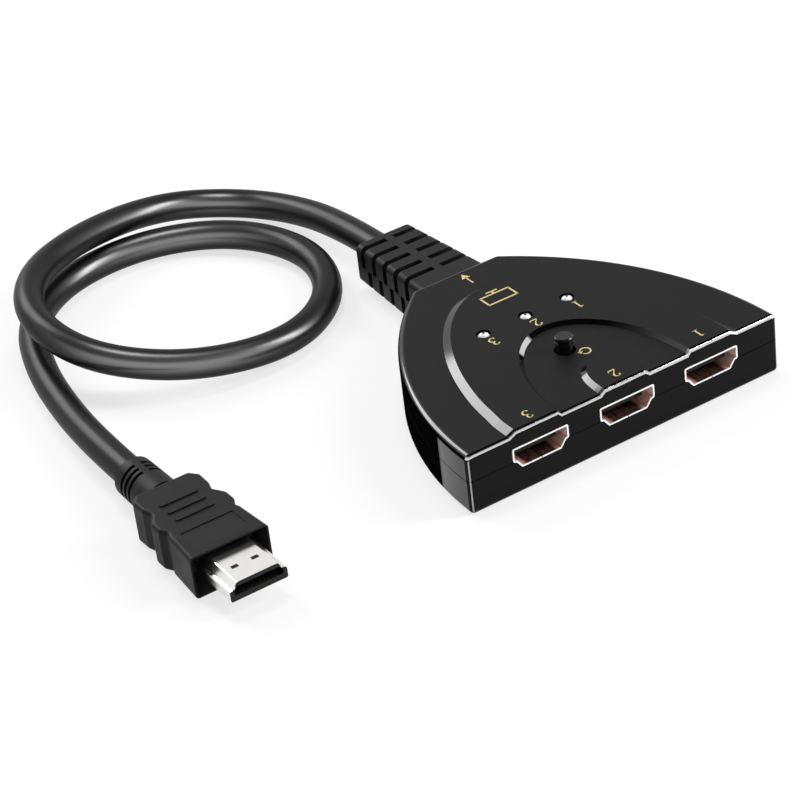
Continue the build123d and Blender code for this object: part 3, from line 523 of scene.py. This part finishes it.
def curve_points(stroke):
    """More points along a stroke, so that its corners turn smoothly."""
    points = [Vector(point) for point in stroke]
    padded = [2 * points[0] - points[1], *points, 2 * points[-1] - points[-2]]
    result = []
    for before, first, second, after in zip(padded, padded[1:], padded[2:], padded[3:]):
        for step in range(CURVE_STEPS):
            t = step / CURVE_STEPS
            result.append(0.5 * (
                2 * first + (second - before) * t
                + (2 * before - 5 * first + 4 * second - after) * t * t
                + (3 * first - before - 3 * second + after) * t * t * t))
    return result + [points[-1]]


def add_stroke(mesh, stroke, smooth, spot):
    """One stroke as a thin solid strip; spot turns glyph places into the row frame."""
    points = curve_points(stroke) if smooth else [Vector(point) for point in stroke]
    rings = []
    for index, point in enumerate(points):
        before, after = points[max(index - 1, 0)], points[min(index + 1, len(points) - 1)]
        run = Vector((after.x - before.x, after.y - before.y)).normalized()
        side = Vector((-run.y, run.x)) * max(point.z, 0.01) / 2
        ring = []
        for sign, lift in ((1, 0.0), (1, PRINT_HEIGHT), (-1, PRINT_HEIGHT), (-1, 0.0)):
            place = spot(point.x + sign * side.x, point.y + sign * side.y, lift)
            ring.append(mesh.verts.new(place))
        rings.append(ring)
    for first, second in zip(rings, rings[1:]):
        for corner in range(4):
            mesh.faces.new((first[corner], first[corner - 1], second[corner - 1], second[corner]))
    mesh.faces.new(rings[0])
    mesh.faces.new(reversed(rings[-1]))


def add_mark(mesh, glyph, x, y, level, height, turn):
    """A mark centred at a place on top of the housing."""
    strokes = GLYPHS[glyph]
    wide = max(point[0] for smooth, stroke in strokes for point in stroke)
    across, along = math.cos(math.radians(turn)), math.sin(math.radians(turn))

    def spot(u, v, lift):
        u, v = (u - wide / 2) * height, (v - 0.5) * height
        return at(x + u * across - v * along, y + u * along + v * across,
                  level + PRINT_LIFT + lift)

    for smooth, stroke in strokes:
        add_stroke(mesh, stroke, smooth, spot)


def printed_marks():
    """Plain numbers at the inputs and lights, and signs for the way out, button and screen."""
    mesh = bmesh.new()
    for mark in MARKS:
        add_mark(mesh, *mark)
    bmesh.ops.recalc_face_normals(mesh, faces=mesh.faces)
    data = bpy.data.meshes.new("printed_marks")
    mesh.to_mesh(data)
    mesh.free()
    marks = bpy.data.objects.new("printed_marks", data)
    bpy.context.scene.collection.objects.link(marks)
    data.materials.append(MATERIALS["print"])
    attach(marks, "housing")


# The camera fitted to the photograph, in degrees, millimetres and pixels.
CAMERA_AZIMUTH = math.radians(-29.738)
CAMERA_ELEVATION = math.radians(32.413)
CAMERA_ROLL = math.radians(-7.201)
CAMERA_DISTANCE = 646.181
CAMERA_FOCUS = 2837.986
PHOTO_WIDTH = 800
SENSOR_WIDTH = 36.0
CAMERA_AIM = (-28.354, 49.064, 0.0)

# Each lamp's azimuth and elevation in degrees, width and height in metres, and power in watts.
PANELS = {
    "behind_left": (192, 34, 0.42, 0.5, 5.0),
    "overhead": (150, 76, 0.3, 0.3, 3.0),
    "front_right": (60, 27, 0.25, 0.75, 9.0),
}
PANEL_AIM = (-20.0, 40.0, 5.0)
PANEL_DISTANCE = 0.9
TABLE_REACH = 3.0


def direction(azimuth, elevation):
    """The unit vector toward a place seen from the table's middle, azimuth 0 toward -Y."""
    return Vector((
        math.sin(azimuth) * math.cos(elevation),
        -math.cos(azimuth) * math.cos(elevation),
        math.sin(elevation)))


def add_camera():
    """The camera at the photograph's place."""
    back = direction(CAMERA_AZIMUTH, CAMERA_ELEVATION)
    level = Vector((math.cos(CAMERA_AZIMUTH), math.sin(CAMERA_AZIMUTH), 0.0))
    rise = back.cross(level)
    right = level * math.cos(CAMERA_ROLL) + rise * math.sin(CAMERA_ROLL)
    up = rise * math.cos(CAMERA_ROLL) - level * math.sin(CAMERA_ROLL)
    data = bpy.data.cameras.new("camera")
    data.sensor_width = SENSOR_WIDTH
    data.lens = CAMERA_FOCUS / PHOTO_WIDTH * SENSOR_WIDTH
    data.clip_start = 0.01
    camera = bpy.data.objects.new("camera", data)
    bpy.context.scene.collection.objects.link(camera)
    place = at(*CAMERA_AIM) + back * CAMERA_DISTANCE * MM
    turn = Matrix((right, up, back)).transposed().to_4x4()
    camera.matrix_world = Matrix.Translation(place) @ turn
    bpy.context.scene.camera = camera


def add_panel(name, azimuth, elevation, width, height, power):
    """A soft light panel that looks at the object."""
    data = bpy.data.lights.new(name, "AREA")
    data.shape = "RECTANGLE"
    data.size = width
    data.size_y = height
    data.energy = power
    lamp = bpy.data.objects.new(name, data)
    bpy.context.scene.collection.objects.link(lamp)
    toward = direction(math.radians(azimuth), math.radians(elevation))
    lamp.location = at(*PANEL_AIM) + toward * PANEL_DISTANCE
    lamp.rotation_euler = toward.to_track_quat("Z", "Y").to_euler()


def seen_mix(tree, shadow, plain):
    """Mix two shaders: the plain one where the camera, gloss or glass sees the surface."""
    path = tree.nodes.new("ShaderNodeLightPath")
    seen = combine(tree, "MAXIMUM", path.outputs["Is Camera Ray"], path.outputs["Is Glossy Ray"])
    seen = combine(tree, "MAXIMUM", seen, path.outputs["Is Transmission Ray"])
    mix = tree.nodes.new("ShaderNodeMixShader")
    for socket, value in zip(mix.inputs, (seen, shadow, plain)):
        tree.links.new(value, socket)
    return mix.outputs[0]


def add_world():
    """A white surround up to a dark ceiling where gloss sees it, and a soft grey light."""
    world = bpy.data.worlds.new("world")
    world.use_nodes = True
    bpy.context.scene.world = world
    tree = world.node_tree
    soft = tree.nodes["Background"]
    soft.inputs["Color"].default_value = (1.0, 1.0, 1.0, 1.0)
    soft.inputs["Strength"].default_value = WORLD_LIGHT
    white = tree.nodes.new("ShaderNodeBackground")
    white.inputs["Color"].default_value = (1.0, 1.0, 1.0, 1.0)
    up = parts_of(tree, "ShaderNodeTexCoord", "Generated")[2]
    ceiling = ramp(tree, up, ((-1.0, 1.0), (0.6, 1.0), (0.75, 0.1), (1.0, 0.1)))
    path = tree.nodes.new("ShaderNodeLightPath")
    strength = pick(tree, path.outputs["Is Camera Ray"], ceiling, 1.0)
    tree.links.new(strength, white.inputs["Strength"])
    result = seen_mix(tree, soft.outputs[0], white.outputs[0])
    tree.links.new(result, tree.nodes["World Output"].inputs["Surface"])


def add_floor():
    """A white table that keeps a soft shadow."""
    mesh = bpy.data.meshes.new("floor")
    corners = ((-1, -1), (1, -1), (1, 1), (-1, 1))
    mesh.from_pydata(
        [(x * TABLE_REACH, y * TABLE_REACH, 0) for x, y in corners], [], [(0, 1, 2, 3)])
    floor = bpy.data.objects.new("floor", mesh)
    bpy.context.scene.collection.objects.link(floor)
    mat, tree, shader = material("table")
    shader.inputs["Base Color"].default_value = (0.85, 0.85, 0.85, 1.0)
    shader.inputs["Roughness"].default_value = 0.9
    shader.inputs["Specular IOR Level"].default_value = 0.1
    glow = tree.nodes.new("ShaderNodeEmission")
    glow.inputs["Strength"].default_value = 1.0
    lit = tree.nodes.new("ShaderNodeMixShader")
    lit.inputs[0].default_value = TABLE_GLOW
    tree.links.new(shader.outputs[0], lit.inputs[1])
    tree.links.new(glow.outputs[0], lit.inputs[2])
    result = seen_mix(tree, shader.outputs[0], lit.outputs[0])
    tree.links.new(result, tree.nodes["Material Output"].inputs["Surface"])
    mesh.materials.append(mat)


dress_nodes()
output_lead()
printed_marks()
add_camera()
add_world()
add_floor()
for panel, values in PANELS.items():
    add_panel(panel, *values)

bpy.context.scene.view_settings.view_transform = "Standard"
